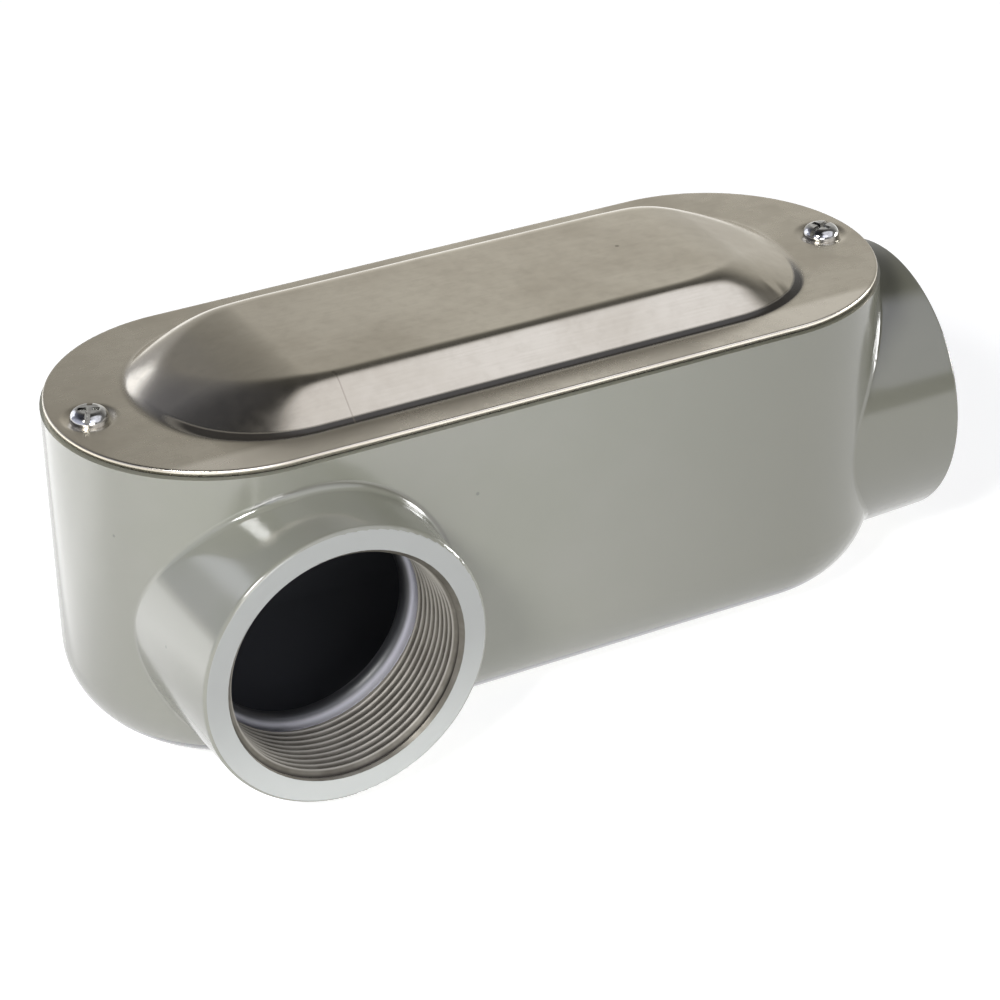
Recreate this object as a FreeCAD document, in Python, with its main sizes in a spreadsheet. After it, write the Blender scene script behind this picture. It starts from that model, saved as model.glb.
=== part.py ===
"""A 2 inch right-angle threaded conduit body: casting, pressed cover, gasket and two cover screws.

The frame has its origin at the centre of the flat underside, +Z up through the cover, +X along the run to the
end hub and -Y along the turn to the side hub. All sizes are in millimetres and degrees.
"""

import FreeCAD, Part
import Sketcher
import math
import os

SIZES = [
    # threads and hubs
    ("thread_diameter", 60.2, "bore at the roots of a 2 inch pipe thread"),
    ("thread_depth", 23.6, "hub's face to the bushing"),
    ("bushing_diameter", 52.5, "way through the bushing, as wide as the conduit's inside"),
    ("bushing_length", 5.0, "bushing along the hub's axis, rounded to a nose from face to face"),
    ("barrel_wall", 4.4, "metal round the thread inside the cavity"),
    ("side_hub_wall", 5.9, "metal round the thread at the side hub's face"),
    ("end_hub_wall", 6.6, "metal round the thread at the end hub's face"),
    ("side_hub_projection", 19.0, "side hub's face beyond the flat side"),
    ("end_hub_projection", 10.95, "end hub's face beyond the round end"),
    ("side_hub_margin", 8.8, "elbow end beyond the side hub"),
    ("hub_draft", 2.0, "each side of a hub, widening to the casting"),
    ("hub_blend", 2.0, "hollow rounding where a hub meets the casting"),
    ("mouth_round", 1.0, "rounding of a hub's outer lip"),
    # casting
    ("body_length", 221.6, "casting, tip to tip of its round ends"),
    ("side_margin", 6.35, "flat side beyond the end hub"),
    ("rim_margin", 6.7, "rim above the end hub"),
    ("underside_margin", 2.6, "underside below the end hub"),
    ("underside_round", 19.6, "rounding between the walls and the underside"),
    ("wall", 4.0, "side and end walls"),
    ("floor_wall", 4.4, "metal under the cavity"),
    # pillars and tapped holes for the cover screws
    ("screw_inset", 9.6, "cover screw's axis in from the casting's end"),
    ("hole_floor", 1.7, "metal between a tapped hole and the end hub's thread"),
    ("pillar_diameter", 14.0, "pillar round a tapped hole"),
    ("pillar_floor", 4.0, "pillar below a tapped hole"),
    # gasket
    ("gasket_sheet", 0.7, "gasket's thickness"),
    ("gasket_setback", 0.9, "gasket's edge in from the cover's edge"),
    ("gasket_band", 6.0, "gasket's width along the rim"),
    # cover
    ("cover_sheet", 1.3, "cover's thickness"),
    ("cover_setback", 0.8, "cover's edge in from the casting's side"),
    ("dome_side_margin", 9.05, "flat of the cover beside the dome"),
    ("dome_end_margin", 19.8, "flat of the cover beyond the dome's tips"),
    ("dome_rise", 8.8, "dome's flat top above the cover's flat"),
    ("dome_side_slope", 43.0, "steepness of the dome's sides"),
    ("dome_end_slope", 15.9, "steepness of the dome's long ends"),
    ("dome_tip_rise", 0.9, "height of the long ends over the tips of the dome"),
    ("dome_shoulder", 5.0, "rounding along the top of the dome's sides"),
    ("dome_crest", 24.0, "rounding where the flat top runs down into a long end"),
    ("dome_foot", 1.2, "rounding where the dome leaves the cover's flat"),
    # cover screws
    ("screw_diameter", 4.8, "number 10 screw"),
    ("screw_gap", 1.6, "screw's end above the bottom of its hole"),
    ("tapped_clearance", 0.1, "tapped hole's diameter over the screw's"),
    ("cover_clearance", 0.6, "cover hole's diameter over the screw's"),
    ("head_diameter", 9.4, "pan head"),
    ("head_rise", 2.9, "pan head's height"),
    ("head_side", 0.5, "straight part of the pan head's side"),
    ("slot_width", 1.3, "slot across the head, and the cross arm over it"),
    ("slot_depth", 1.5, "slot and cross arm"),
    ("cross_reach", 2.6, "cross arm from the screw's axis"),
    ("screw_end_bevel", 0.7, "bevel at the screw's end"),
    ("seat_diameter", 13.4, "rim of the coined seat in the cover round a screw"),
    ("seat_floor", 10.0, "flat under the screw's head, inside the seat's slanted side"),
    ("seat_depth", 0.6, "coined seat"),
]

# Sizes worked out from the driving ones, as expressions that any object of the document can be bound to.
END_HUB = "(Sizes.thread_diameter / 2 + Sizes.end_hub_wall)"
SIDE_HUB = "(Sizes.thread_diameter / 2 + Sizes.side_hub_wall)"
THREAD = "(Sizes.thread_diameter / 2)"
BUSHING = "(Sizes.bushing_diameter / 2)"
HUB_HEIGHT = f"(Sizes.underside_margin + {END_HUB})"
HALF_WIDTH = f"({END_HUB} + Sizes.side_margin)"
HALF_LENGTH = "(Sizes.body_length / 2)"
BODY_HEIGHT = f"({HUB_HEIGHT} + {END_HUB} + Sizes.rim_margin)"
END_CENTRE = f"({HALF_LENGTH} - {HALF_WIDTH})"
SIDE_HUB_X = f"({SIDE_HUB} + Sizes.side_hub_margin - {HALF_LENGTH})"
SIDE_FACE = f"({HALF_WIDTH} + Sizes.side_hub_projection)"
END_FACE = f"({HALF_LENGTH} + Sizes.end_hub_projection)"
SCREW_X = f"({HALF_LENGTH} - Sizes.screw_inset)"
HOLE_DEPTH = "(Sizes.rim_margin + Sizes.end_hub_wall - Sizes.hole_floor)"
HOLE_RADIUS = "((Sizes.screw_diameter + Sizes.tapped_clearance) / 2)"
COVER_HOLE_RADIUS = "((Sizes.screw_diameter + Sizes.cover_clearance) / 2)"
GRIP = "(Sizes.gasket_sheet + Sizes.cover_sheet - Sizes.seat_depth)"
COVER_BASE = f"({BODY_HEIGHT} + Sizes.gasket_sheet)"
DOME_HALF_WIDTH = f"({HALF_WIDTH} - Sizes.cover_setback - Sizes.dome_side_margin)"
DOME_HALF_LENGTH = f"({HALF_LENGTH} - Sizes.cover_setback - Sizes.dome_end_margin)"
OVERCUT = 1.0
ON_THE_CURVE = 0.01

doc = FreeCAD.newDocument("ConduitBody")
sheet = doc.addObject("Spreadsheet::Sheet", "Sizes")
for row, (alias, number, note) in enumerate(SIZES, start=1):
    sheet.set(f"A{row}", alias)
    sheet.set(f"B{row}", str(number))
    sheet.setAlias(f"B{row}", alias)
    sheet.set(f"C{row}", note)
doc.recompute()


def size(expression):
    """The present value of an expression in the sheet's aliases."""
    return float(sheet.evalExpression(expression))


def new_body(label):
    body = doc.addObject("PartDesign::Body", label)
    body.Label = label
    return body


def new_sketch(body, name, role, **offset):
    """A sketch on one of the body's own origin planes, moved by bound offsets along that plane's x, y and z."""
    sketch = body.newObject("Sketcher::SketchObject", name)
    plane = next(item for item in body.Origin.OriginFeatures if item.Role == role)
    sketch.AttachmentSupport = (plane, [""])
    sketch.MapMode = "FlatFace"
    for axis, expression in offset.items():
        sketch.setExpression(f"AttachmentOffset.Base.{axis}", expression)
    return sketch


def fix(sketch, name, kind, *where, to):
    """Add a named constraint whose value is bound to an expression."""
    number = sketch.addConstraint(Sketcher.Constraint(kind, *where, size(to)))
    sketch.renameConstraint(number, name)
    sketch.setExpression(f"Constraints.{name}", to)


def draw_stadium(sketch, half_length, half_width):
    """A straight-sided outline with round ends about the sketch's origin, long way along the sketch's x."""
    reach_formula = f"({half_length}) - ({half_width})"
    reach = size(reach_formula)
    radius = size(half_width)
    middle = FreeCAD.Vector(reach, 0, 0)
    left = FreeCAD.Vector(-reach, 0, 0)
    up = FreeCAD.Vector(0, radius, 0)
    axis = FreeCAD.Vector(0, 0, 1)
    first = sketch.GeometryCount
    top, right, bottom, other = range(first, first + 4)
    quarter = math.pi / 2
    sketch.addGeometry(Part.LineSegment(left + up, middle + up), False)
    sketch.addGeometry(Part.ArcOfCircle(Part.Circle(middle, axis, radius), -quarter, quarter), False)
    sketch.addGeometry(Part.LineSegment(middle - up, left - up), False)
    sketch.addGeometry(Part.ArcOfCircle(Part.Circle(left, axis, radius), quarter, 3 * quarter), False)
    sketch.addConstraint([
        Sketcher.Constraint("Tangent", top, 2, right, 2),
        Sketcher.Constraint("Tangent", right, 1, bottom, 1),
        Sketcher.Constraint("Tangent", bottom, 2, other, 2),
        Sketcher.Constraint("Tangent", other, 1, top, 1),
        Sketcher.Constraint("Equal", right, other),
        Sketcher.Constraint("Symmetric", right, 3, other, 3, -1, 1),
        Sketcher.Constraint("PointOnObject", right, 3, -1),
    ])
    fix(sketch, f"reach_{first}", "DistanceX", -1, 1, right, 3, to=reach_formula)
    fix(sketch, f"radius_{first}", "Radius", right, to=half_width)


def draw_circle(sketch, x, radius):
    """A circle on the sketch's x axis."""
    circle = sketch.GeometryCount
    centre = FreeCAD.Vector(size(x), 0, 0)
    sketch.addGeometry(Part.Circle(centre, FreeCAD.Vector(0, 0, 1), size(radius)), False)
    sketch.addConstraint(Sketcher.Constraint("PointOnObject", circle, 3, -1))
    fix(sketch, f"place_{circle}", "DistanceX", -1, 1, circle, 3, to=x)
    fix(sketch, f"radius_{circle}", "Radius", circle, to=radius)


def draw_outline(sketch, corners, nose=None):
    """A closed outline, its corners given as pairs of expressions.

    nose, if given, is the corner that a half circle leaves, and a point of that half circle. The half circle
    carries on smoothly from the side before it.
    """
    points = [FreeCAD.Vector(size(x), size(y), 0) for x, y in corners]
    count = len(corners)
    first = sketch.GeometryCount
    for number, point in enumerate(points):
        following = points[(number + 1) % count]
        if nose is not None and number == nose[0]:
            top = FreeCAD.Vector(size(nose[1][0]), size(nose[1][1]), 0)
            sketch.addGeometry(Part.Arc(point, top, following), False)
        else:
            sketch.addGeometry(Part.LineSegment(point, following), False)

    def end_at(number, point):
        """Which end of a side, 1 or 2, is at a point."""
        return 1 if sketch.getPoint(first + number, 1).distanceToPoint(point) < ON_THE_CURVE else 2

    for number, (x, y) in enumerate(corners):
        before = (number - 1) % count
        meeting = "Tangent" if nose is not None and number == nose[0] else "Coincident"
        ends = first + before, end_at(before, points[number]), first + number, end_at(number, points[number])
        sketch.addConstraint(Sketcher.Constraint(meeting, *ends))
        here = ends[2:] if nose is None or number != nose[0] else ends[:2]
        fix(sketch, f"x_{first + number}", "DistanceX", -1, 1, *here, to=x)
        fix(sketch, f"y_{first + number}", "DistanceY", -1, 1, *here, to=y)


def new_feature(body, kind, name, profile=None, **settings):
    """A PartDesign feature on the body's tip; text given for a setting that holds a number is bound to it."""
    feature = body.newObject(f"PartDesign::{kind}", name)
    if profile is not None:
        feature.Profile = profile
    for setting, value in settings.items():
        if isinstance(value, str) and not isinstance(getattr(feature, setting), str):
            feature.setExpression(setting, value)
        else:
            setattr(feature, setting, value)
    doc.recompute()
    return feature


def edges_where(shape, test):
    """Names of the shape's edges whose sampled points all pass the test."""
    names = []
    for number, edge in enumerate(shape.Edges, start=1):
        if edge.Length > ON_THE_CURVE and all(test(point) for point in edge.discretize(7)):
            names.append(f"Edge{number}")
    return names


def round_edges(body, name, test, radius):
    """Round the edges that pass the test on the body's present shape."""
    base = body.Tip
    names = edges_where(base.Shape, test)
    if not names:
        raise RuntimeError(f"{name}: no edge to round")
    return new_feature(body, "Fillet", name, Base=(base, names), Radius=radius)


def near(value, target):
    return abs(value - target) < ON_THE_CURVE


# ---- casting ---------------------------------------------------------------------------------------------------

def revolved(body, kind, name, axis, sketch_offset, corners, nose=None):
    """Turn a profile about the sketch's own x or y axis, given as H_Axis or V_Axis."""
    sketch = new_sketch(body, f"{name}_profile", "XY_Plane", **sketch_offset)
    draw_outline(sketch, corners, nose)
    return new_feature(body, kind, name, sketch, ReferenceAxis=(sketch, [axis]), Angle=360.0)


def hub_radius(face_radius, face, along):
    """Radius of a drafted hub at a place along its axis, both given as plain numbers."""
    return size(face_radius) + (size(face) - along) * math.tan(math.radians(size("hub_draft")))


def build_tub(body):
    outline = new_sketch(body, "tub_outline", "XY_Plane")
    draw_stadium(outline, HALF_LENGTH, HALF_WIDTH)
    new_feature(body, "Pad", "tub", outline, Length=BODY_HEIGHT)
    round_edges(body, "underside", lambda point: near(point.z, 0), "Sizes.underside_round")


def build_hubs(body):
    """Both hubs run into the tub far enough for their inner ends to lie in solid metal."""
    draft = "tan(Sizes.hub_draft * 1 deg)"
    side_root = f"({HALF_WIDTH} / 4)"
    end_root = END_CENTRE
    side_root_radius = f"({SIDE_HUB} + ({SIDE_FACE} - {side_root}) * {draft})"
    end_root_radius = f"({END_HUB} + ({END_FACE} - {end_root}) * {draft})"
    revolved(body, "Revolution", "side_hub", "V_Axis", {"x": SIDE_HUB_X, "z": HUB_HEIGHT}, [
        ("0", f"-{SIDE_FACE}"),
        (SIDE_HUB, f"-{SIDE_FACE}"),
        (side_root_radius, f"-{side_root}"),
        ("0", f"-{side_root}"),
    ])
    revolved(body, "Revolution", "end_hub", "H_Axis", {"z": HUB_HEIGHT}, [
        (END_FACE, "0"),
        (END_FACE, END_HUB),
        (end_root, end_root_radius),
        (end_root, "0"),
    ])


def blend_hubs(body):
    """Hollow rounding along both hubs' roots, and a small one round their outer lips."""
    height = size(HUB_HEIGHT)

    def on_side_root(point):
        radius = math.hypot(point.x - size(SIDE_HUB_X), point.z - height)
        along = -point.y
        return along < size(HALF_WIDTH) + 1 and near(radius, hub_radius(SIDE_HUB, SIDE_FACE, along))

    def on_end_root(point):
        radius = math.hypot(point.y, point.z - height)
        return point.x < size(HALF_LENGTH) + 1 and near(radius, hub_radius(END_HUB, END_FACE, point.x))

    round_edges(body, "side_hub_blend", on_side_root, "Sizes.hub_blend")
    round_edges(body, "end_hub_blend", on_end_root, "Sizes.hub_blend")
    round_edges(body, "side_hub_lip", lambda point: near(point.y, -size(SIDE_FACE)), "Sizes.mouth_round")
    round_edges(body, "end_hub_lip", lambda point: near(point.x, size(END_FACE)), "Sizes.mouth_round")


def hollow_out(body):
    """Cut the cavity with a core of its form, open at the rim."""
    core = new_body("cavity_core")
    outline = new_sketch(core, "core_outline", "XY_Plane", z="Sizes.floor_wall")
    draw_stadium(outline, f"{HALF_LENGTH} - Sizes.wall", f"{HALF_WIDTH} - Sizes.wall")
    new_feature(core, "Pad", "core", outline, Length=f"{BODY_HEIGHT} - Sizes.floor_wall")
    floor = size("floor_wall")
    round_edges(core, "core_round", lambda point: near(point.z, floor), "Sizes.underside_round - Sizes.wall")
    cavity = body.newObject("PartDesign::Boolean", "cavity")
    cavity.Type = "Cut"
    cavity.addObject(core)
    doc.recompute()


def build_barrels(body):
    """The threads reach into the cavity, each in a barrel that the bushing closes."""
    barrel = "(Sizes.thread_diameter / 2 + Sizes.barrel_wall)"
    side_end = f"({SIDE_FACE} - Sizes.thread_depth - Sizes.bushing_length)"
    end_end = f"({END_FACE} - Sizes.thread_depth - Sizes.bushing_length)"
    side_wall = f"({HALF_WIDTH} - Sizes.wall / 2)"
    end_wall = f"({HALF_LENGTH} - Sizes.wall / 2)"
    revolved(body, "Revolution", "side_barrel", "V_Axis", {"x": SIDE_HUB_X, "z": HUB_HEIGHT}, [
        ("0", f"-{side_wall}"),
        (barrel, f"-{side_wall}"),
        (barrel, f"-{side_end}"),
        ("0", f"-{side_end}"),
    ])
    revolved(body, "Revolution", "end_barrel", "H_Axis", {"z": HUB_HEIGHT}, [
        (end_wall, "0"),
        (end_wall, barrel),
        (end_end, barrel),
        (end_end, "0"),
    ])


def build_pillars(body):
    """A pillar under the rim at each end takes a cover screw."""
    outline = new_sketch(body, "pillar_outlines", "XY_Plane", z=BODY_HEIGHT)
    for x in (SCREW_X, f"-{SCREW_X}"):
        draw_circle(outline, x, "Sizes.pillar_diameter / 2")
    depth = f"{HOLE_DEPTH} + Sizes.pillar_floor"
    new_feature(body, "Pad", "pillars", outline, Length=depth, Reversed=True)


def bore_hub(body, name, axis, sketch_offset, face, place):
    """Cut a hub's threaded length and the narrower way through its bushing, whose throat is a rounded nose.

    place turns expressions along and out from the hub's axis into the sketch's x and y.
    """
    bushing_start = f"({face} - Sizes.thread_depth)"
    bushing_end = f"({bushing_start} - Sizes.bushing_length)"
    nose_foot = f"({BUSHING} + Sizes.bushing_length / 2)"
    corners = [
        (face, "0"),
        (face, THREAD),
        (bushing_start, THREAD),
        (bushing_start, nose_foot),
        (bushing_end, nose_foot),
        (f"({bushing_end} - {OVERCUT})", nose_foot),
        (f"({bushing_end} - {OVERCUT})", "0"),
    ]
    throat = place(f"({bushing_start} - Sizes.bushing_length / 2)", BUSHING)
    turned = [place(along, out) for along, out in corners]
    revolved(body, "Groove", name, axis, sketch_offset, turned, nose=(3, throat))


def build_bores(body):
    side_offset = {"x": SIDE_HUB_X, "z": HUB_HEIGHT}
    end_offset = {"z": HUB_HEIGHT}
    bore_hub(body, "side_bore", "V_Axis", side_offset, SIDE_FACE, lambda along, out: (out, f"-{along}"))
    bore_hub(body, "end_bore", "H_Axis", end_offset, END_FACE, lambda along, out: (along, out))


def build_tapped_holes(body):
    centres = new_sketch(body, "hole_centres", "XY_Plane", z=BODY_HEIGHT)
    for x in (SCREW_X, f"-{SCREW_X}"):
        draw_circle(centres, x, HOLE_RADIUS)
    new_feature(body, "Pocket", "tapped_holes", centres, Length=HOLE_DEPTH)


def build_casting():
    body = new_body("body")
    build_tub(body)
    build_hubs(body)
    blend_hubs(body)
    hollow_out(body)
    build_barrels(body)
    build_pillars(body)
    build_bores(body)
    build_tapped_holes(body)
    return body


# ---- gasket ----------------------------------------------------------------------------------------------------

def build_gasket():
    """A flat band along the rim, with an ear round each screw."""
    gasket = new_body("gasket")
    inset = "(Sizes.cover_setback + Sizes.gasket_setback)"
    outline = new_sketch(gasket, "gasket_outline", "XY_Plane")
    draw_stadium(outline, f"{HALF_LENGTH} - {inset}", f"{HALF_WIDTH} - {inset}")
    new_feature(gasket, "Pad", "gasket_sheet", outline, Length="Sizes.gasket_sheet")
    opening = new_sketch(gasket, "opening_outline", "XY_Plane", z="Sizes.gasket_sheet")
    inner = f"({inset} + Sizes.gasket_band)"
    draw_stadium(opening, f"{HALF_LENGTH} - {inner}", f"{HALF_WIDTH} - {inner}")
    new_feature(gasket, "Pocket", "opening", opening, Type="ThroughAll")
    ears = new_sketch(gasket, "ear_outlines", "XY_Plane")
    holes = new_sketch(gasket, "gasket_hole_outlines", "XY_Plane", z="Sizes.gasket_sheet")
    for x in (SCREW_X, f"-{SCREW_X}"):
        draw_circle(ears, x, "Sizes.pillar_diameter / 2")
        draw_circle(holes, x, COVER_HOLE_RADIUS)
    new_feature(gasket, "Pad", "ears", ears, Length="Sizes.gasket_sheet")
    new_feature(gasket, "Pocket", "gasket_holes", holes, Type="ThroughAll")
    gasket.setExpression("Placement.Base.z", BODY_HEIGHT)
    return gasket


# ---- cover -----------------------------------------------------------------------------------------------------

def press_form(body, skin):
    """The dome as a solid up from the cover's underside, its sides, ends and top drawn in by a skin's thickness."""
    steep = "Sizes.dome_side_slope * 1 deg"
    gentle = "Sizes.dome_end_slope * 1 deg"
    spread = f"(Sizes.cover_sheet / tan({steep}) - {skin} / sin({steep}))"
    outline = new_sketch(body, f"{body.Label}_outline", "XY_Plane")
    draw_stadium(outline, f"{DOME_HALF_LENGTH} + {spread}", f"{DOME_HALF_WIDTH} + {spread}")
    top = f"(Sizes.cover_sheet + Sizes.dome_rise - {skin})"
    new_feature(body, "Pad", f"{body.Label}_sides", outline, Length=top, TaperAngle="Sizes.dome_side_slope - 90")

    tip = f"(Sizes.cover_sheet + Sizes.dome_tip_rise - {skin} / cos({gentle}))"
    top_end = f"({DOME_HALF_LENGTH} - ({top} - {tip}) / tan({gentle}))"
    outer_end = f"({DOME_HALF_LENGTH} + {spread} + {OVERCUT})"
    outer_height = f"({tip} - ({spread} + {OVERCUT}) * tan({gentle}))"
    slopes = new_sketch(body, f"{body.Label}_slopes", "XZ_Plane")
    for sign in ("", "-"):
        draw_outline(slopes, [
            (f"{sign}{top_end}", top),
            (f"{sign}{outer_end}", outer_height),
            (f"{sign}{outer_end}", top),
        ])
    new_feature(body, "Pocket", f"{body.Label}_ends", slopes, Type="ThroughAll", SideType="Symmetric")
    crest, height, lowest = size(top_end), size(top), size(tip) / 2

    def on_crest(point):
        return near(point.z, height) and near(abs(point.x), crest)

    def on_shoulder(point):
        return point.z > lowest and abs(point.y) > ON_THE_CURVE

    round_edges(body, f"{body.Label}_crests", on_crest, f"Sizes.dome_crest - {skin}")
    round_edges(body, f"{body.Label}_shoulders", on_shoulder, f"Sizes.dome_shoulder - {skin}")


def build_cover():
    """A pressed sheet: a flat with a long dome, hollow beneath, and a coined seat for each screw."""
    cover = new_body("cover")
    press_form(cover, "0")
    outline = new_sketch(cover, "cover_outline", "XY_Plane")
    draw_stadium(outline, f"{HALF_LENGTH} - Sizes.cover_setback", f"{HALF_WIDTH} - Sizes.cover_setback")
    new_feature(cover, "Pad", "cover_flat", outline, Length="Sizes.cover_sheet")

    punch = new_body("cover_punch")
    press_form(punch, "Sizes.cover_sheet")
    hollow = cover.newObject("PartDesign::Boolean", "hollow")
    hollow.Type = "Cut"
    hollow.addObject(punch)
    doc.recompute()

    flat_top = size("cover_sheet")
    reach = size(f"{DOME_HALF_WIDTH} + {OVERCUT}")
    centre = size(f"{DOME_HALF_LENGTH} - {DOME_HALF_WIDTH}")

    def beside_dome(point):
        return math.hypot(max(abs(point.x) - centre, 0), point.y) < reach

    round_edges(
        cover, "foot", lambda point: near(point.z, flat_top) and beside_dome(point), "Sizes.dome_foot",
    )
    round_edges(
        cover, "foot_below", lambda point: near(point.z, 0) and beside_dome(point),
        "Sizes.dome_foot + Sizes.cover_sheet",
    )
    seats = new_sketch(cover, "seat_outlines", "XY_Plane", z="Sizes.cover_sheet")
    holes = new_sketch(cover, "cover_hole_outlines", "XY_Plane", z="Sizes.cover_sheet")
    for x in (SCREW_X, f"-{SCREW_X}"):
        draw_circle(seats, x, "Sizes.seat_diameter / 2")
        draw_circle(holes, x, COVER_HOLE_RADIUS)
    narrowing = "atan((Sizes.seat_diameter - Sizes.seat_floor) / (2 * Sizes.seat_depth))"
    new_feature(cover, "Pocket", "seats", seats, Length="Sizes.seat_depth", TaperAngle=f"-{narrowing}")
    new_feature(cover, "Pocket", "cover_holes", holes, Type="ThroughAll")
    cover.setExpression("Placement.Base.z", COVER_BASE)
    return cover


# ---- cover screws ----------------------------------------------------------------------------------------------

def build_screw(label, side, turn):
    """A pan head screw with a slot and cross, seated on the cover; side is -1 or 1 and turn its slot's direction."""
    screw = new_body(label)
    head = new_sketch(screw, f"{label}_head_outline", "XY_Plane")
    draw_circle(head, "0", "Sizes.head_diameter / 2")
    new_feature(screw, "Pad", f"{label}_head", head, Length="Sizes.head_rise")
    top = size("head_rise")
    crown = "Sizes.head_rise - Sizes.head_side"
    round_edges(screw, f"{label}_crown", lambda point: near(point.z, top), crown)
    shank = new_sketch(screw, f"{label}_shank_outline", "XY_Plane")
    draw_circle(shank, "0", "Sizes.screw_diameter / 2")
    length = f"({GRIP} + {HOLE_DEPTH} - Sizes.screw_gap)"
    new_feature(screw, "Pad", f"{label}_shank", shank, Length=length, Reversed=True)
    end = -size(length)
    tip = edges_where(screw.Tip.Shape, lambda point: near(point.z, end))
    new_feature(screw, "Chamfer", f"{label}_end", Base=(screw.Tip, tip), Size="Sizes.screw_end_bevel")
    half = "Sizes.slot_width / 2"
    reach = f"(Sizes.head_diameter / 2 + {OVERCUT})"
    cross = new_sketch(screw, f"{label}_slot_outline", "XY_Plane", z="Sizes.head_rise")
    draw_outline(cross, [
        (reach, f"-{half}"), (reach, half), (half, half), (half, "Sizes.cross_reach"),
        (f"-{half}", "Sizes.cross_reach"), (f"-{half}", half), (f"-{reach}", half), (f"-{reach}", f"-{half}"),
        (f"-{half}", f"-{half}"), (f"-{half}", "-Sizes.cross_reach"), (half, "-Sizes.cross_reach"),
        (half, f"-{half}"),
    ])
    new_feature(screw, "Pocket", f"{label}_slot", cross, Length="Sizes.slot_depth")
    screw.Placement.Rotation = FreeCAD.Rotation(FreeCAD.Vector(0, 0, 1), turn)
    screw.setExpression("Placement.Base.x", f"{side} * {SCREW_X}")
    screw.setExpression("Placement.Base.z", f"{COVER_BASE} + Sizes.cover_sheet - Sizes.seat_depth")
    return screw


# ---- build and write -------------------------------------------------------------------------------------------

SCREWS = [("elbow_end_screw", -1, 63), ("hub_end_screw", 1, 24)]

subparts = [build_casting(), build_gasket(), build_cover()]
subparts += [build_screw(label, side, turn) for label, side, turn in SCREWS]
doc.recompute()

for item in doc.Objects:
    if "Invalid" in item.State or "Error" in item.State:
        raise RuntimeError(f"{item.Name} did not build: {item.State}")
for subpart in subparts:
    if subpart.Shape.isNull() or not subpart.Shape.isValid() or len(subpart.Shape.Solids) != 1:
        raise RuntimeError(f"{subpart.Label} is not one sound solid")

os.makedirs("parts", exist_ok=True)
for subpart in subparts:
    subpart.Shape.exportStep(f"parts/{subpart.Label}.step")
    print(f"{subpart.Label}: {subpart.Shape.Volume / 1000:.2f} cm3")
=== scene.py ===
"""Looks of a threaded conduit body: coated casting, pressed sheet cover on its gasket, and two screws.

Everything is in metres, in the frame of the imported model: +Z up through the cover, +X to the end hub and
-Y to the side hub. Only the pressed cover's shape is worked out in millimetres.
"""

import math

import bmesh
import bpy
from mathutils import Matrix, Quaternion, Vector


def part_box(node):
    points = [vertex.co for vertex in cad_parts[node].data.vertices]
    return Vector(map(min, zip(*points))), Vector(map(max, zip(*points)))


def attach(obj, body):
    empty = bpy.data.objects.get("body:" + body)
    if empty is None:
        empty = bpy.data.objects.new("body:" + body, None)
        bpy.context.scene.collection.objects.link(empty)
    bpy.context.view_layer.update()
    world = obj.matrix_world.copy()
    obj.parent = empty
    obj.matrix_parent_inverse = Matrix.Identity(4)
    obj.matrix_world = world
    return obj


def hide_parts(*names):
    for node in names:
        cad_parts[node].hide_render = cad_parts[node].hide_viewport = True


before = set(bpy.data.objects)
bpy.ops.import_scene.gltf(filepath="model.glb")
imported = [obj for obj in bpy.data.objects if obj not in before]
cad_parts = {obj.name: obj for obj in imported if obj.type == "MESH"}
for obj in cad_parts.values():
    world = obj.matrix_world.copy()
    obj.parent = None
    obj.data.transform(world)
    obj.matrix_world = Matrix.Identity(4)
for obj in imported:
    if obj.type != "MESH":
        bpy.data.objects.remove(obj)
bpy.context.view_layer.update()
MM = 0.001


# ---- sizes ---------------------------------------------------------------------------------------------

def node_box(name):
    """The low and high corners of a node of the model."""
    low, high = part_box(name)
    return Vector(low), Vector(high)


BODY_LOW, BODY_HIGH = node_box("body")
COVER_LOW, COVER_HIGH = node_box("cover")
GASKET_LOW, _ = node_box("gasket")

WALL = 4.0 * MM
HALF_WIDTH = BODY_HIGH.y
HALF_LENGTH = -BODY_LOW.x
END_CENTRE = HALF_LENGTH - HALF_WIDTH
HUB_HEIGHT = 39.3 * MM
HUB_ROOT_RADIUS = 37.9 * MM
SIDE_HUB_X = -66.0 * MM
SIDE_FACE = -BODY_LOW.y
END_FACE = BODY_HIGH.x
THREAD_RADIUS = 30.1 * MM
THREAD_DEPTH = 23.6 * MM
BUSHING_LENGTH = 5.0 * MM
THREAD_PITCH = 25.4 * MM / 11.5
DOME_RISE = 8.8  # in millimetres
COVER_FLAT = COVER_HIGH.z - DOME_RISE * MM


# ---- node helpers --------------------------------------------------------------------------------------

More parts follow.
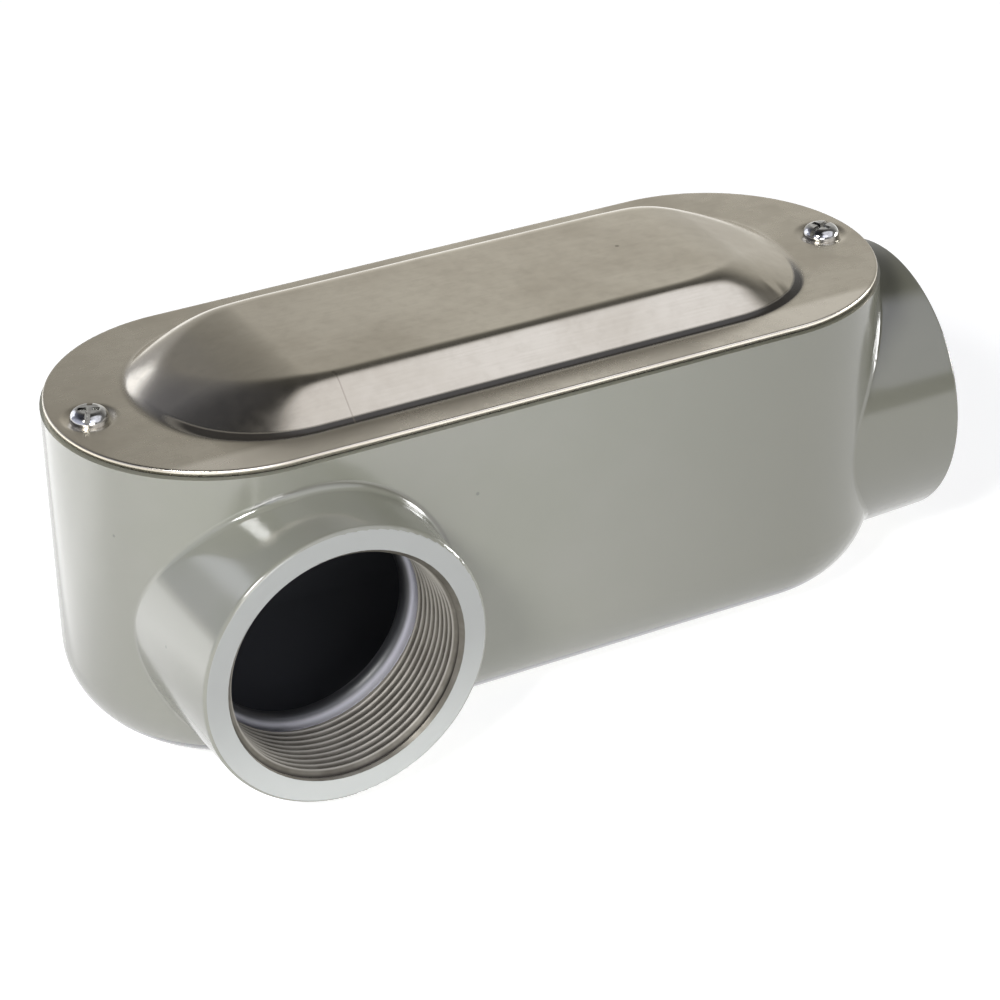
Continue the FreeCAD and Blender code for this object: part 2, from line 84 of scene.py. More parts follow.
class Nodes:
    """A node tree, with short ways to add the nodes used here."""

    def __init__(self, tree, coordinates="Object"):
        self.tree = tree
        self.place = self.add("TexCoord").outputs[coordinates]
        self.x, self.y, self.z = self.split(self.place)

    def add(self, kind):
        return self.tree.nodes.new("ShaderNode" + kind)

    def link(self, source, target):
        self.tree.links.new(source, target)

    def feed(self, target, value):
        """Link an output to a socket, or set the socket to a plain value."""
        if isinstance(value, bpy.types.NodeSocket):
            self.link(value, target)
        else:
            target.default_value = value

    def split(self, vector):
        node = self.add("SeparateXYZ")
        self.link(vector, node.inputs[0])
        return node.outputs

    def math(self, operation, a, b=0.0):
        node = self.add("Math")
        node.operation = operation
        self.feed(node.inputs[0], a)
        self.feed(node.inputs[1], b)
        return node.outputs[0]

    def product(self, first, *others):
        """All the values multiplied."""
        for other in others:
            first = self.math("MULTIPLY", first, other)
        return first

    def ramp(self, value, start, end, low=0.0, high=1.0, kind="SMOOTHSTEP"):
        """Change from low to high as value goes from start to end."""
        node = self.add("MapRange")
        node.interpolation_type = kind
        for name, number in (("From Min", start), ("From Max", end), ("To Min", low), ("To Max", high)):
            node.inputs[name].default_value = number
        self.feed(node.inputs["Value"], value)
        return node.outputs["Result"]

    def stops(self, value, levels):
        """Level read off between (value, level) stops."""
        node = self.add("ValToRGB")
        elements = node.color_ramp.elements
        for number, (place, level) in enumerate(levels):
            stop = elements[number] if number < 2 else elements.new(place)
            stop.position = place
            stop.color = (level, level, level, 1.0)
        self.link(value, node.inputs[0])
        return node.outputs[0]

    def compared(self, operation, spot):
        """Dot product of the place with a spot, or its distance from it."""
        node = self.add("VectorMath")
        node.operation = operation
        self.link(self.place, node.inputs[0])
        node.inputs[1].default_value = spot
        return node.outputs["Value"]

    def mix(self, amount, first, second):
        node = self.add("Mix")
        node.data_type = "RGBA"
        self.feed(node.inputs["Factor"], amount)
        self.feed(node.inputs[6], first)
        self.feed(node.inputs[7], second)
        return node.outputs[2]


class Material(Nodes):
    """A material with one shader, and the patterns that its looks are made of."""

    def __init__(self, name):
        self.material = bpy.data.materials.new(name)
        self.material.use_nodes = True
        self.material.node_tree.nodes.clear()
        super().__init__(self.material.node_tree)
        self.shader = self.add("BsdfPrincipled")
        self.link(self.shader.outputs["BSDF"], self.add("OutputMaterial").inputs["Surface"])

    def stretched(self, x, y, z):
        """The place, scaled along each axis."""
        node = self.add("Mapping")
        node.inputs["Scale"].default_value = (x, y, z)
        self.link(self.place, node.inputs["Vector"])
        return node.outputs[0]

    def noise(self, scale, detail=2.0, roughness=0.5, place=None):
        node = self.add("TexNoise")
        node.inputs["Scale"].default_value = scale
        node.inputs["Detail"].default_value = detail
        node.inputs["Roughness"].default_value = roughness
        self.link(place or self.place, node.inputs["Vector"])
        return node.outputs["Fac"]

    def bump(self, height, distance, strength=1.0):
        node = self.add("Bump")
        node.inputs["Distance"].default_value = distance
        node.inputs["Strength"].default_value = strength
        self.link(height, node.inputs["Height"])
        return node.outputs[0]

    def from_axis(self, u, v, u0, v0):
        """Distance from a line along the third axis, through u0, v0."""
        du = self.math("SUBTRACT", u, u0)
        dv = self.math("SUBTRACT", v, v0)
        square = self.math("ADD", self.math("MULTIPLY", du, du), self.math("MULTIPLY", dv, dv))
        return self.math("SQRT", square)

    def near(self, value, target, reach):
        """1 where value is within reach of target."""
        away = self.math("ABSOLUTE", self.math("SUBTRACT", value, target))
        return self.math("LESS_THAN", away, reach)

    def speck(self, spot, radius):
        """1 within a small ball, fading to 0."""
        return self.ramp(self.compared("DISTANCE", spot), 0.5 * radius, radius, 1.0, 0.0)

    def set(self, **values):
        """Feed the shader's sockets, named with _ for each space."""
        for name, value in values.items():
            self.feed(self.shader.inputs[name.replace("_", " ")], value)


def srgb(red, green, blue, alpha=1.0):
    """A colour written as it shows, 0 to 255, as linear values."""
    def linear(value):
        value /= 255
        return value / 12.92 if value <= 0.04045 else ((value + 0.055) / 1.055) ** 2.4
    return linear(red), linear(green), linear(blue), alpha


def dress(piece, material):
    piece.data.materials.clear()
    piece.data.materials.append(material)


# ---- materials -----------------------------------------------------------------------------------------

# Small marks, each a place and a radius.
BODY_SPECKS = [
    ((-0.0221, -0.04305, 0.0633), 0.0006), ((-0.1052, -0.0211, 0.0647), 0.0005),
    ((-0.1023, -0.0415, 0.0448), 0.0005),
]
COVER_SPECKS = [
    ((-0.0488, -0.0225, 0.0928), 0.0008), ((0.0424, 0.0035, 0.0935), 0.0007),
    ((-0.0719, -0.0008, 0.0900), 0.0006), ((-0.0768, -0.0029, 0.0885), 0.0005),
]
SCRATCH_X = -48.5 * MM
SCRATCH_Y = (-33.4 * MM, -22.5 * MM)


def casting_coat():
    """Smooth grey coating outside and bare metal in the threads, with painted shade in the cavity and the
    bushings' throats, and painted light and shade on the coat and hub faces.
    """
    g = Material("casting_coat")
    patches = g.noise(22.0, 3.0)
    skin = g.noise(55.0, 2.0)
    coat = g.mix(g.ramp(patches, 0.35, 0.65), srgb(143, 144, 131), srgb(147, 147, 136))
    # Painted shade: the coat darkens towards the +X end, from x -15 mm to 85 mm.
    coat = g.mix(g.ramp(g.x, -15.0 * MM, 85.0 * MM), coat, srgb(125, 125, 112))

    side_radius = g.from_axis(g.x, g.z, SIDE_HUB_X, HUB_HEIGHT)
    end_radius = g.from_axis(g.y, g.z, 0.0, HUB_HEIGHT)
    side_depth = g.math("ADD", g.y, SIDE_FACE)
    end_depth = g.math("SUBTRACT", END_FACE, g.x)

    def in_bore(radius, depth):
        """1 in a hub's bore, from its face to the bushing's far end."""
        near_axis = g.math("LESS_THAN", radius, THREAD_RADIUS + 0.1 * MM)
        near_face = g.math("LESS_THAN", depth, THREAD_DEPTH + BUSHING_LENGTH)
        behind_face = g.math("GREATER_THAN", depth, 0.1 * MM)
        return g.product(near_axis, near_face, behind_face)

    side_bore = in_bore(side_radius, side_depth)
    end_bore = in_bore(end_radius, end_depth)
    bore = g.math("MAXIMUM", side_bore, end_bore)
    depth = g.math("ADD", g.product(side_bore, side_depth), g.product(end_bore, end_depth))
    thread_end = THREAD_DEPTH - 0.1 * MM
    threaded = g.product(bore, g.math("LESS_THAN", depth, thread_end))
    nose = g.product(bore, g.math("GREATER_THAN", depth, thread_end))
    # Painted shade: the bushing's throat darkens inwards from its lip and deeper in.
    nose_radius = g.math("MINIMUM", side_radius, end_radius)
    inwards = g.ramp(nose_radius, 28.3 * MM, 27.2 * MM)
    beyond = g.ramp(depth, THREAD_DEPTH + 0.5 * MM, THREAD_DEPTH + 1.7 * MM)
    throat_shade = g.product(nose, g.math("MAXIMUM", inwards, beyond))
    face = g.math("MAXIMUM", g.near(side_depth, 0.0, 0.05 * MM), g.near(end_depth, 0.0, 0.05 * MM))

    # Painted shade: the cavity inside the walls, above the floor and below the rim, is coloured darker than
    # the coat.
    along = g.math("MAXIMUM", g.math("SUBTRACT", g.math("ABSOLUTE", g.x), END_CENTRE), 0.0)
    from_spine = g.from_axis(along, g.y, 0.0, 0.0)
    within_walls = g.math("LESS_THAN", from_spine, HALF_WIDTH - WALL + 0.2 * MM)
    above_floor = g.math("GREATER_THAN", g.z, WALL)
    below_rim = g.math("LESS_THAN", g.z, GASKET_LOW.z - 0.2 * MM)
    outside_end = g.math("LESS_THAN", end_depth, END_FACE - HALF_LENGTH + WALL)
    cavity_shade = g.product(
        within_walls, above_floor, below_rim, g.math("SUBTRACT", 1.0, bore),
        g.math("SUBTRACT", 1.0, outside_end),
    )

    # Painted light: the hub faces are coloured lighter towards the bottom, standing in for light thrown up by
    # the floor.
    foot = g.ramp(g.z, 45.0 * MM, 4.0 * MM)
    colour = g.mix(face, coat, g.mix(foot, srgb(164, 166, 163), srgb(205, 208, 204)))
    # Painted shade: a dark line along the crease where the side hub meets the wall.
    from_root = g.math("ABSOLUTE", g.math("SUBTRACT", side_radius, HUB_ROOT_RADIUS))
    crease = g.product(g.ramp(from_root, 0.9 * MM, 0.1 * MM), g.near(g.y, -HALF_WIDTH, 1.3 * MM))
    colour = g.mix(g.product(crease, 0.6), colour, srgb(90, 88, 78))
    colour = g.mix(threaded, colour, srgb(150, 145, 134))
    colour = g.mix(nose, colour, srgb(206, 206, 216))
    colour = g.mix(cavity_shade, colour, srgb(84, 86, 91))
    colour = g.mix(throat_shade, colour, srgb(40, 41, 44))
    for spot, radius in BODY_SPECKS:
        colour = g.mix(g.product(g.speck(spot, radius), 0.45), colour, srgb(96, 96, 92))
    g.set(
        Base_Color=colour, IOR=1.9, Metallic=g.product(threaded, 0.6),
        Roughness=g.math("MAXIMUM", g.ramp(patches, 0.3, 0.7, 0.12, 0.16), g.product(bore, 0.45)),
        Normal=g.bump(skin, 0.1 * MM, 0.15),
    )
    return g.material


def cover_sheet():
    """Satin rolled sheet: faint lengthwise rolling lines, cloudy stains and a scratch, with a painted
    reflection on the front margin and painted shade along the dome's front foot.
    """
    g = Material("cover_sheet")
    rolling = g.noise(1.0, 3.0, 0.6, g.stretched(70.0, 2200.0, 2200.0))
    clouds = g.noise(30.0, 4.0, 0.6)
    fine = g.noise(300.0, 3.0, 0.6)
    cloudy = g.ramp(clouds, 0.35, 0.7)
    base = g.mix(cloudy, srgb(218, 211, 195), srgb(204, 196, 179))
    base = g.mix(g.ramp(rolling, 0.3, 0.75, 0.0, 0.14), base, srgb(180, 172, 156))
    base = g.mix(g.ramp(fine, 0.45, 0.75, 0.0, 0.16), base, srgb(186, 178, 162))

    # Painted reflection: the front margin of the flat is coloured brighter.
    on_flat = g.ramp(g.z, COVER_FLAT + 0.2 * MM, COVER_FLAT)
    front_margin_reflection = g.product(on_flat, g.ramp(g.y, -31.0 * MM, -34.0 * MM))
    base = g.mix(front_margin_reflection, base, g.mix(cloudy, srgb(250, 243, 229), srgb(236, 229, 214)))
    # Painted shade: the dome's foot is darkened on its front-facing side and made less metallic there.
    facing_y = g.split(g.add("TexCoord").outputs["Normal"])["Y"]
    foot_shade = g.product(
        g.ramp(g.z, COVER_FLAT + 0.03 * MM, COVER_FLAT + 0.12 * MM),
        g.ramp(g.z, COVER_FLAT + 1.4 * MM, COVER_FLAT + 0.9 * MM),
        g.ramp(facing_y, -0.03, -0.2, 0.0, 0.95),
    )
    base = g.mix(foot_shade, base, srgb(26, 23, 22))

    from_scratch = g.math("ABSOLUTE", g.math("SUBTRACT", g.x, SCRATCH_X))
    scratch = g.product(
        g.ramp(from_scratch, 0.3 * MM, 0.08 * MM, 0.0, 0.3),
        g.math("LESS_THAN", g.y, SCRATCH_Y[1]), g.math("GREATER_THAN", g.y, SCRATCH_Y[0]),
    )
    base = g.mix(scratch, base, srgb(120, 110, 98))
    for spot, radius in COVER_SPECKS:
        base = g.mix(g.product(g.speck(spot, radius), 0.6), base, srgb(106, 96, 84))
    roughness = g.math("ADD", g.ramp(clouds, 0.3, 0.7, 0.17, 0.24), g.ramp(fine, 0.3, 0.7, -0.02, 0.02))
    roughness = g.math("ADD", roughness, g.ramp(g.z, COVER_FLAT + 0.3 * MM, COVER_FLAT, 0.0, 0.08))
    g.set(
        Base_Color=base, Metallic=g.ramp(foot_shade, 0.2, 0.9, 1.0, 0.2), Roughness=roughness,
        Normal=g.bump(rolling, 0.006 * MM, 0.1),
    )
    return g.material


def gasket_rubber():
    """Dull black rubber."""
    g = Material("gasket_rubber")
    grain = g.noise(900.0, 2.0)
    g.set(
        Base_Color=g.mix(grain, srgb(30, 29, 28), srgb(44, 42, 40)),
        Roughness=g.ramp(grain, 0.3, 0.7, 0.65, 0.8),
        Normal=g.bump(grain, 0.03 * MM, 0.4),
    )
    return g.material


def plated_screw():
    """Bright plating with faint marks."""
    g = Material("plated_screw")
    marks = g.noise(700.0, 2.0)
    g.set(
        Base_Color=g.mix(g.ramp(marks, 0.4, 0.7), srgb(214, 214, 212), srgb(190, 189, 186)),
        Metallic=1.0, Roughness=g.ramp(marks, 0.35, 0.7, 0.1, 0.2), Normal=g.bump(marks, 0.01 * MM, 0.2),
    )
    return g.material


def cut_thread():
    """Bare metal of the cut threads: dusty flanks, with painted shade in the grooves and a painted highlight
    on the crests.
    """
    g = Material("cut_thread")
    dust = g.noise(120.0, 3.0, 0.6)
    tool = g.noise(1500.0, 1.0)
    side_radius = g.from_axis(g.x, g.z, SIDE_HUB_X, HUB_HEIGHT)
    end_radius = g.from_axis(g.y, g.z, 0.0, HUB_HEIGHT)
    radius = g.math("MINIMUM", side_radius, end_radius)
    side_depth = g.math("ABSOLUTE", g.math("ADD", g.y, SIDE_FACE))
    end_depth = g.math("ABSOLUTE", g.math("SUBTRACT", END_FACE, g.x))
    # Painted shade: darker in the thread's grooves, away from the hub's face.
    groove_shade = g.product(
        g.ramp(radius, THREAD_RADIUS - 0.9 * MM, THREAD_RADIUS - 0.1 * MM),
        g.ramp(g.math("MINIMUM", side_depth, end_depth), 0.6 * MM, 1.4 * MM),
    )
    # Painted highlight: the thread's crests are coloured brighter.
    crest = g.ramp(radius, THREAD_RADIUS - 1.2 * MM, THREAD_RADIUS - 1.65 * MM)
    flank = g.mix(g.ramp(dust, 0.35, 0.65), srgb(118, 114, 105), srgb(98, 94, 85))
    colour = g.mix(groove_shade, flank, srgb(62, 58, 53))
    colour = g.mix(crest, colour, srgb(158, 154, 146))
    g.set(
        Base_Color=colour, Metallic=0.6, Roughness=g.ramp(dust, 0.3, 0.7, 0.4, 0.5),
        Normal=g.bump(tool, 0.01 * MM, 0.2),
    )
    return g.material


# ---- pipe threads --------------------------------------------------------------------------------------

def pipe_thread(name, frame_matrix):
    """The helical ridge of an internal pipe thread, standing in from the bore's wall.

    It is made about +Z, from the hub's face at 0 down to the bushing at -THREAD_DEPTH, then moved to its hub.
    """
    ridge_height = 1.75 * MM
    crest_half = 0.12 * MM
    turn_gap = 0.005 * MM
    base_half = 0.5 * THREAD_PITCH - turn_gap
    sunk = 0.03 * MM
    steps_per_turn = 120
    run_out = 0.3
    least_height = 0.02
    face = -0.05 * MM
    corner_gap = 0.002 * MM
    chamfer = 0.8
    first = -0.96
    turns = THREAD_DEPTH / THREAD_PITCH - 1.0
    steps = round((turns - first) * steps_per_turn)

    def clipped(profile, radius_at_face):
        """The profile without what stands out of the hub's face or of the mouth's chamfer."""
        kept = []
        for number, (radius, height) in enumerate(profile):
            limit = face - number * corner_gap
            if height > limit:
                radius = radius if number == 0 else radius_at_face
                height = limit
            kept.append((max(radius, THREAD_RADIUS + chamfer * height), height))
        return kept

    mesh = bmesh.new()
    rings = []
    for step in range(steps + 1):
        turn = first + step / steps_per_turn
        angle = math.tau * turn
        middle = -(turn + 0.5) * THREAD_PITCH
        full = min(1.0, max((turns - turn) / run_out, least_height))
        crest = THREAD_RADIUS - ridge_height * full
        base = THREAD_RADIUS + sunk
        profile = [
            (base, middle + base_half), (crest, middle + crest_half),
            (crest, middle - crest_half), (base, middle - base_half),
        ]
        down = (abs(face - middle) - crest_half) / (base_half - crest_half)
        radius_at_face = base - (base - crest) * (1.0 - min(1.0, max(0.0, down)))
        rings.append([
            mesh.verts.new((radius * math.cos(angle), radius * math.sin(angle), height))
            for radius, height in clipped(profile, radius_at_face)
        ])
    for before, after in zip(rings, rings[1:]):
        for corner in range(4):
            following = (corner + 1) % 4
            mesh.faces.new((before[corner], after[corner], after[following], before[following]))
    mesh.faces.new(rings[0])
    mesh.faces.new(reversed(rings[-1]))
    bmesh.ops.recalc_face_normals(mesh, faces=mesh.faces)
    data = bpy.data.meshes.new(name)
    mesh.to_mesh(data)
    mesh.free()
    data.transform(frame_matrix)
    piece = bpy.data.objects.new(name, data)
    bpy.context.scene.collection.objects.link(piece)
    dress(piece, cut_metal)
    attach(piece, "root")
    return piece


# ---- pressed cover, in millimetres ---------------------------------------------------------------------

COVER_HALF_WIDTH = COVER_HIGH.y / MM
COVER_CENTRE = COVER_HIGH.x / MM - COVER_HALF_WIDTH
SHEET = 1.3
DOME_HALF_WIDTH = 33.2
DOME_HALF_LENGTH = 90.2
DOME_CENTRE = DOME_HALF_LENGTH - DOME_HALF_WIDTH
DOME_FLAT_END = 62.5
DOME_SIDE_SLOPE = 43.0
ELBOW_TIP_RISE = 1.7
HUB_TIP_RISE = 0.1
CREST_ROUNDING = 2.2
SIDE_ROUNDING = 1.9
FOOT_ROUNDING = 0.6
WAVE_HEIGHT = 0.025
# Where the dome changes: from the far to the near side, and towards its ends.
NEAR_SIDE = (-10.0, 8.0)
GENTLER_ENDS = (46.0, 86.0)
ROUNDER_ENDS = (44.0, 74.0)
SCREW_X = 101.2
SEAT_DEPTH = 0.6
SEAT_RADIUS = 6.7
SEAT_FLOOR_RADIUS = 5.0
# Wrinkles of the pressing: place, lean in radians and height.
CREASES = [(69.5, -26.0, 0.5, 0.12), (72.5, -26.5, 0.2, -0.13), (75.0, -25.6, -0.1, 0.1)]
CREASE_WIDTH = 0.9
CREASE_LENGTH = 2.6


def smooth(value, start, end):
    """0 before start and 1 after end, changing smoothly."""
    part = min(1.0, max(0.0, (value - start) / (end - start)))
    return part * part * (3.0 - 2.0 * part)


def lower_of(a, b, blend):
    """The lower of two heights, rounded where they cross."""
    near = max(blend - abs(a - b), 0.0) / blend
    return min(a, b) - near * near * blend / 4.0


def dome_height(x, y):
    """Height of the dome over the cover's flat.

    The straight sides rise to the flat top. Each end runs down from the flat top to its tip.
    """
    near_side = smooth(-y, *NEAR_SIDE)
    from_middle = math.hypot(max(abs(x) - DOME_CENTRE, 0.0), y)
    gentler = 1.0 - (0.2 + 0.2 * near_side) * smooth(abs(x), *GENTLER_ENDS)
    side = (DOME_HALF_WIDTH - from_middle) * math.tan(math.radians(DOME_SIDE_SLOPE)) * gentler
    tip = ELBOW_TIP_RISE if x < 0 else HUB_TIP_RISE
    reach = DOME_HALF_LENGTH - DOME_FLAT_END
    end = tip + (DOME_HALF_LENGTH - abs(x)) * (DOME_RISE - tip) / reach
    top = lower_of(DOME_RISE, end, CREST_ROUNDING)
    rounding = SIDE_ROUNDING + (1.0 + 1.6 * near_side) * smooth(abs(x), *ROUNDER_ENDS)
    height = lower_of(top, side, rounding + (1.0 - near_side))
    height = -lower_of(-height, 0.0, FOOT_ROUNDING)
    waves = math.sin(x / 9.0 + 1.3 * math.sin(y / 11.0)) * math.sin(y / 13.0 + 0.7 * math.sin(x / 17.0))
    height += WAVE_HEIGHT * waves * smooth(height, 2.0, 8.0)
    for crease_x, crease_y, lean, depth in CREASES:
        across = (x - crease_x) * math.cos(lean) + (y - crease_y) * math.sin(lean)
        along = (y - crease_y) * math.cos(lean) - (x - crease_x) * math.sin(lean)
        crease = math.exp(-(across / CREASE_WIDTH) ** 2 - (along / CREASE_LENGTH) ** 2)
        height += depth * crease * smooth(height, 0.2, 2.0)
    return height


def seat_depth(x, y):
    """Depth of the slanted seat round a cover screw."""
    away = math.hypot(abs(x) - SCREW_X, y)
    return SEAT_DEPTH * (1.0 - smooth(away, SEAT_FLOOR_RADIUS - 0.3, SEAT_RADIUS + 0.2))


def outline_point(turn, inset):
    """A point of the cover's outline moved in by inset; turn goes once round from 0 to 1, from the +X tip."""
    radius = COVER_HALF_WIDTH - inset
    arc = math.pi * COVER_HALF_WIDTH
    straight = 2.0 * COVER_CENTRE
    along = turn * 2.0 * (arc + straight)
    if along < arc / 2 or along >= 1.5 * arc + 2 * straight:
        angle = along / COVER_HALF_WIDTH
        if along >= arc:
            angle = (along - 2.0 * (arc + straight)) / COVER_HALF_WIDTH
        return COVER_CENTRE + radius * math.cos(angle), radius * math.sin(angle)
    if along < arc / 2 + straight:
        return COVER_CENTRE - (along - arc / 2), radius
    if along < 1.5 * arc + straight:
        angle = math.pi / 2 + (along - arc / 2 - straight) / COVER_HALF_WIDTH
        return -COVER_CENTRE + radius * math.cos(angle), radius * math.sin(angle)
    return -COVER_CENTRE + (along - 1.5 * arc - straight), -radius


def pressed_cover():
    """The cover as a pressed sheet, with rolled dome ends and slanted screw seats.

    Rings of points follow the outline inwards, fine on the upper side and coarser on the lower one. Where
    they meet along the middle, a strip closes each side.
    """
    count = 560
    upper_step, upper_rings = 0.6, 70
    lower_step, lower_rings = 1.8, 23
    probe = 0.1
    rim_inset, rim_drop, edge_drop = 0.15, 0.02, 0.2
    top_gap = 0.005
    flat = COVER_HIGH.z / MM - DOME_RISE
    under = COVER_LOW.z / MM
    mesh = bmesh.new()

    def ring(inset, height):
        points = [outline_point((number + 0.5) / count, inset) for number in range(count)]
        return [mesh.verts.new((x * MM, y * MM, height(x, y) * MM)) for x, y in points]

    def join(outer, inner):
        for number in range(count):
            following = (number + 1) % count
            mesh.faces.new((outer[number], outer[following], inner[following], inner[number]))

    def close(edge):
        for number in range(count // 2 - 1):
            other = count - 1 - number
            mesh.faces.new((edge[number], edge[number + 1], edge[other - 1], edge[other]))

    def upper(x, y):
        return min(flat + dome_height(x, y) - seat_depth(x, y), flat + DOME_RISE - top_gap)

    def lower(x, y):
        height = dome_height(x, y)
        steep_x = (dome_height(x + probe, y) - height) / probe
        steep_y = (dome_height(x, y + probe) - height) / probe
        return max(flat + height - SHEET * math.sqrt(1.0 + steep_x ** 2 + steep_y ** 2), under)

    rings = [ring(0.0, lambda x, y: flat - edge_drop), ring(rim_inset, lambda x, y: flat - rim_drop)]
    rings += [ring(upper_step * step, upper) for step in range(1, upper_rings + 1)]
    for outer, inner in zip(rings, rings[1:]):
        join(outer, inner)
    close(rings[-1])
    below = [rings[0], ring(0.0, lambda x, y: under)]
    below += [ring(lower_step * step, lower) for step in range(1, lower_rings + 1)]
    for outer, inner in zip(below, below[1:]):
        join(outer, inner)
    close(below[-1])
    bmesh.ops.recalc_face_normals(mesh, faces=mesh.faces)
    data = bpy.data.meshes.new("cover_pressing")
    mesh.to_mesh(data)
    mesh.free()
    data.shade_smooth()
    piece = bpy.data.objects.new("cover_pressing", data)
    bpy.context.scene.collection.objects.link(piece)
    dress(piece, cover_sheet())
    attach(piece, "root")
    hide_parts("cover")


pressed_cover()
cut_metal = cut_thread()
side_mouth = Matrix.Translation((SIDE_HUB_X, -SIDE_FACE, HUB_HEIGHT))
end_mouth = Matrix.Translation((END_FACE, 0, HUB_HEIGHT))
pipe_thread("side_hub_thread", side_mouth @ Matrix.Rotation(math.radians(90), 4, "X"))
pipe_thread("end_hub_thread", end_mouth @ Matrix.Rotation(math.radians(90), 4, "Y"))

dress(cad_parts["body"], casting_coat())
dress(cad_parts["gasket"], gasket_rubber())
screw_metal = plated_screw()
for screw in ("elbow_end_screw", "hub_end_screw"):
    dress(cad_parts[screw], screw_metal)


# ---- studio --------------------------------------------------------------------------------------------

# How bright the floor is to the camera and in reflections, and the brighter card on it.
FLOOR_GLOW = 0.75
FLOOR_MIRRORED = 1.2
CARD_X = (-0.7, -0.122)
CARD_NEAR_Y = (-0.01, 0.07)
CARD_FAR_Y = 0.7
CARD_EXTRA = 1.0

# Levels by a direction's height, rightward part and backward part, and by its nearness to a panel.
WORLD_HEIGHTS = [
    (0.0, 1.0), (0.06, 0.95), (0.25, 0.78), (0.42, 0.68), (0.5, 0.56), (0.62, 0.36), (0.78, 0.13), (1.0, 0.1),
]
WORLD_RIGHTWARDS = [(0.0, 0.5), (0.26, 0.58), (0.42, 0.98), (0.5, 0.9), (0.62, 0.68)]
WORLD_BACKWARDS = [(0.0, 0.4), (0.35, 1.0)]
PANEL_DIRECTION = (0.40, -0.44, 0.80)
PANEL_STOPS = [(0.84, 0.0), (0.93, 1.04), (1.0, 1.08)]
LOW_PANEL_DIRECTION = (0.41, -0.70, 0.58)
LOW_PANEL_STOPS = [(0.90, 0.0), (0.925, 1.0)]
WINDOW_DIRECTION = (0.0, -0.83, 0.56)
WINDOW_STOPS = [(0.955, 0.0), (0.965, 1.0)]
WINDOW_LEVEL = 1.7
FAR_LEFT_LEVEL = 0.8
DIFFUSE_LEFT, DIFFUSE_RIGHT = 0.36, 0.02
CAMERA_LEVEL = 1.1
PANEL_COOLNESS = 0.55
WARM_LIGHT = (1.0, 0.985, 0.955, 1.0)
COOL_LIGHT = (0.91, 0.95, 1.18, 1.0)


def add_camera():
    """A long lens in front, to the left and above."""
    azimuth = math.radians(-27.541)
    elevation = math.radians(29.837)
    roll = math.radians(-1.025)
    forward = Vector((
        -math.sin(azimuth) * math.cos(elevation), math.cos(azimuth) * math.cos(elevation),
        -math.sin(elevation),
    ))
    data = bpy.data.cameras.new("camera")
    data.lens = 113.66
    data.sensor_width = 36.0
    camera = bpy.data.objects.new("camera", data)
    camera.location = (-0.3164, -0.6187, 0.4323)
    level = forward.to_track_quat("-Z", "Y")
    camera.rotation_mode = "QUATERNION"
    camera.rotation_quaternion = level @ Quaternion((0, 0, 1), roll)
    bpy.context.scene.collection.objects.link(camera)
    bpy.context.scene.camera = camera


def add_softbox(name, place, target, width, height, power, colour=(1.0, 1.0, 1.0)):
    """A rectangular lamp at a place, turned to its target."""
    data = bpy.data.lights.new(name, "AREA")
    data.shape = "RECTANGLE"
    data.size = width
    data.size_y = height
    data.energy = power
    data.color = colour
    lamp = bpy.data.objects.new(name, data)
    lamp.location = place
    lamp.rotation_mode = "QUATERNION"
    lamp.rotation_quaternion = (Vector(target) - Vector(place)).to_track_quat("-Z", "Y")
    bpy.context.scene.collection.objects.link(lamp)


def add_floor():
    """A pale floor that keeps the shadow and shows white in reflections, with a brighter card behind left."""
    half, sunk = 6.0, 0.05 * MM
    corners = [(-half, -half, 0), (half, -half, 0), (half, half, 0), (-half, half, 0)]
    data = bpy.data.meshes.new("floor")
    data.from_pydata(corners, [], [(0, 1, 2, 3)])
    floor = bpy.data.objects.new("floor", data)
    floor.location.z = -sunk
    bpy.context.scene.collection.objects.link(floor)
    material = bpy.data.materials.new("floor")
    material.use_nodes = True
    g = Nodes(material.node_tree)
    path = g.add("LightPath").outputs
    matt = g.tree.nodes["Principled BSDF"]
    matt.inputs["Base Color"].default_value = (0.8, 0.8, 0.8, 1.0)
    matt.inputs["Roughness"].default_value = 0.9
    matt.inputs["Specular IOR Level"].default_value = 0.1

    def emission(strength):
        node = g.add("Emission")
        node.inputs["Color"].default_value = (1.0, 1.0, 1.0, 1.0)
        g.feed(node.inputs["Strength"], strength)
        return node.outputs[0]

    seen = g.math("MAXIMUM", path["Is Camera Ray"], path["Is Transmission Ray"])
    direct = g.add("AddShader")
    g.link(matt.outputs[0], direct.inputs[0])
    g.link(emission(g.product(seen, FLOOR_GLOW)), direct.inputs[1])
    card = g.product(
        g.math("LESS_THAN", g.x, CARD_X[1]), g.math("GREATER_THAN", g.x, CARD_X[0]),
        g.ramp(g.y, *CARD_NEAR_Y), g.math("LESS_THAN", g.y, CARD_FAR_Y),
    )
    chosen = g.add("MixShader")
    g.link(path["Is Glossy Ray"], chosen.inputs[0])
    g.link(direct.outputs[0], chosen.inputs[1])
    g.link(emission(g.math("ADD", g.product(card, CARD_EXTRA), FLOOR_MIRRORED)), chosen.inputs[2])
    g.link(chosen.outputs[0], g.tree.nodes["Material Output"].inputs["Surface"])
    data.materials.append(material)


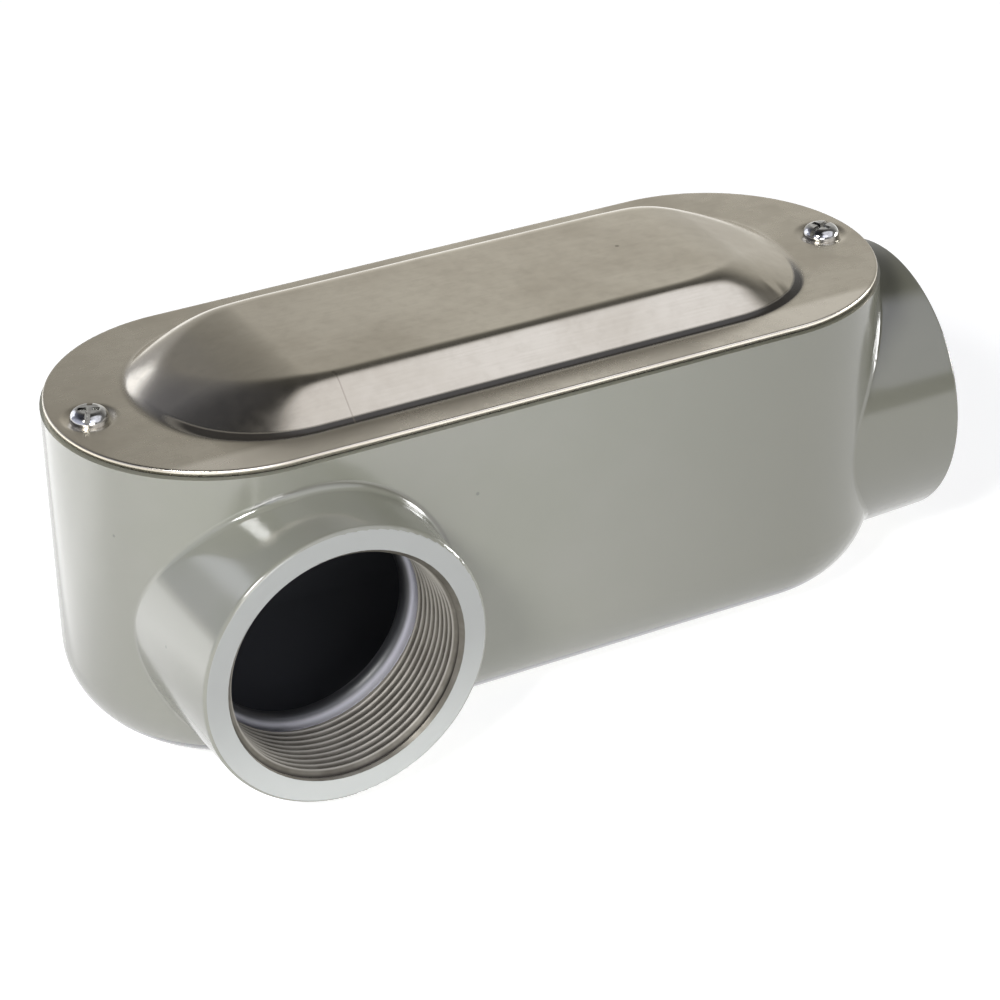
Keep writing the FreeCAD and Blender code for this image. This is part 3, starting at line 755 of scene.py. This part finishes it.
def add_world():
    """A room for reflections: bright low, dark above, with two pale panels and a small window in front.

    The camera sees white. Diffuse light comes from the room's brightness by height, more from the left.
    """
    world = bpy.data.worlds.new("studio")
    world.use_nodes = True
    bpy.context.scene.world = world
    g = Nodes(world.node_tree, "Generated")
    path = g.add("LightPath").outputs
    background = g.tree.nodes["Background"]

    height = g.stops(g.z, WORLD_HEIGHTS)
    wall = g.product(height, g.stops(g.x, WORLD_RIGHTWARDS), g.stops(g.y, WORLD_BACKWARDS))
    far_left = g.ramp(g.x, -0.6, -0.85, 0.0, FAR_LEFT_LEVEL, "LINEAR")
    wall = g.math("MAXIMUM", wall, g.product(height, far_left))
    panel = g.stops(g.compared("DOT_PRODUCT", PANEL_DIRECTION), PANEL_STOPS)
    low_panel = g.stops(g.compared("DOT_PRODUCT", LOW_PANEL_DIRECTION), LOW_PANEL_STOPS)
    window = g.stops(g.compared("DOT_PRODUCT", WINDOW_DIRECTION), WINDOW_STOPS)
    panel = g.math("MAXIMUM", g.math("MAXIMUM", panel, low_panel), g.product(window, WINDOW_LEVEL))
    mirrored = g.math("MAXIMUM", wall, panel)

    lit = g.product(height, g.ramp(g.x, -1.0, 1.0, DIFFUSE_LEFT, DIFFUSE_RIGHT, "LINEAR"))
    difference = g.math("SUBTRACT", lit, mirrored)
    level = g.math("ADD", mirrored, g.product(path["Is Diffuse Ray"], difference))
    seen = g.math("MAXIMUM", path["Is Camera Ray"], path["Is Transmission Ray"])
    g.link(g.math("MAXIMUM", level, g.product(seen, CAMERA_LEVEL)), background.inputs["Strength"])

    leftwards = g.ramp(g.x, 0.12, -0.22, kind="LINEAR")
    cool = g.math("MAXIMUM", leftwards, g.product(g.math("MINIMUM", panel, 1.0), PANEL_COOLNESS))
    g.link(g.mix(cool, WARM_LIGHT, COOL_LIGHT), background.inputs["Color"])


bpy.context.scene.view_settings.view_transform = "Standard"
add_camera()
add_floor()
add_world()
middle = (0.0, 0.0, 0.04)
add_softbox("key_softbox", (-0.66, -0.50, 0.70), middle, 0.24, 0.24, 7.0)
add_softbox("back_left_softbox", (-0.55, 1.25, 0.42), middle, 0.85, 0.8, 2.8, (0.94, 0.97, 1.06))
add_softbox("right_softbox", (1.15, -0.24, 0.14), middle, 0.5, 0.22, 5.0)
add_softbox("low_front_softbox", (-0.18, -0.62, 0.16), (-0.08, 0.0, 0.03), 0.3, 0.2, 0.95)
